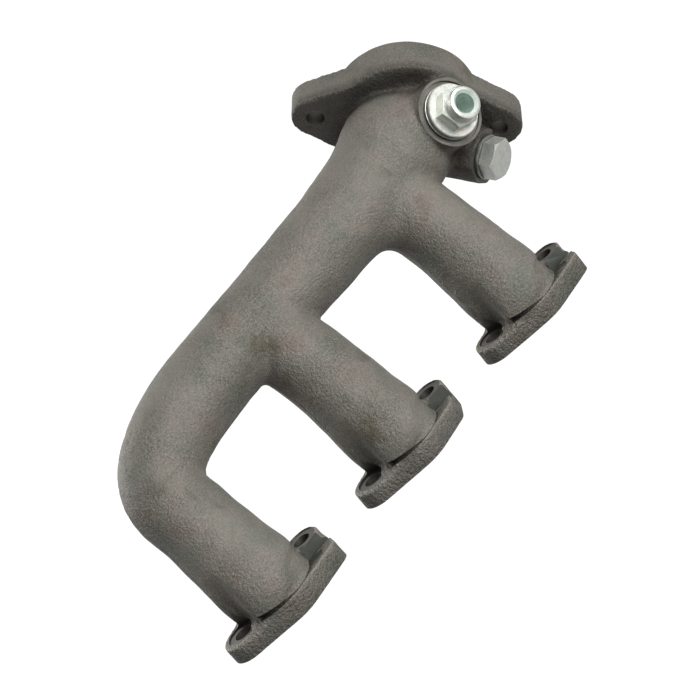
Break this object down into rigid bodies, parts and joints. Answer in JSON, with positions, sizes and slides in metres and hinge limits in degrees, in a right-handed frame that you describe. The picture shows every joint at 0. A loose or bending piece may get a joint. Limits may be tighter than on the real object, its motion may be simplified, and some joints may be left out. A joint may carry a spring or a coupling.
{
  "type": "exhaust manifold",
  "caption": "Cast iron exhaust manifold: ported flanges on leaning runners, a log pipe, a bolted outlet flange, a threaded tube adapter and a hexagon plug.",
  "frame": {"origin": "bottom centre of the whole object's box, in the plane of the three port faces", "axes": "+X along the row of ports towards the outlet, +Y to the side that the log pipe leans to, +Z away from the cylinder head"},
  "size_m": [0.3674, 0.131, 0.1688],
  "materials": {
    "cast_iron": "shot-blasted sand casting, dull warm grey with machined faces",
    "zinc_plated_steel": "bright zinc plating over turned steel, satin",
    "washer_steel": "plain steel sealing washer, dull"
  },
  "bodies": {
    "casting": {"manifold_casting": "cast_iron"},
    "adapter_carrier": {"egr_adapter_washer": "washer_steel"},
    "adapter": {"egr_adapter": "zinc_plated_steel"},
    "plug_carrier": {"plug_washer": "washer_steel"},
    "plug": {"port_plug": "zinc_plated_steel"}
  },
  "joints": [
    {"name": "adapter_lift", "type": "slide", "parent": "casting", "child": "adapter_carrier", "axis": [0.08, -0.9854, 0.1501], "range_m": [0, 0.0135]},
    {"name": "adapter_unscrew", "type": "hinge", "parent": "adapter_carrier", "child": "adapter", "pos_m": [0.13268, -0.02014, 0.1106], "axis": [0.08, -0.9854, 0.1501], "range_deg": [0, 3240]},
    {"name": "plug_lift", "type": "slide", "parent": "casting", "child": "plug_carrier", "axis": [0.1699, -0.8494, -0.4996], "range_m": [0, 0.015]},
    {"name": "plug_unscrew", "type": "hinge", "parent": "plug_carrier", "child": "plug", "pos_m": [0.14018, -0.00844, 0.0726], "axis": [0.1699, -0.8494, -0.4996], "range_deg": [0, 3600]}
  ],
  "couplings": [
    {"joint": "adapter_lift", "follows": "adapter_unscrew", "m_per_rad": 0.00023873},
    {"joint": "plug_lift", "follows": "plug_unscrew", "m_per_rad": 0.00023873}
  ]
}
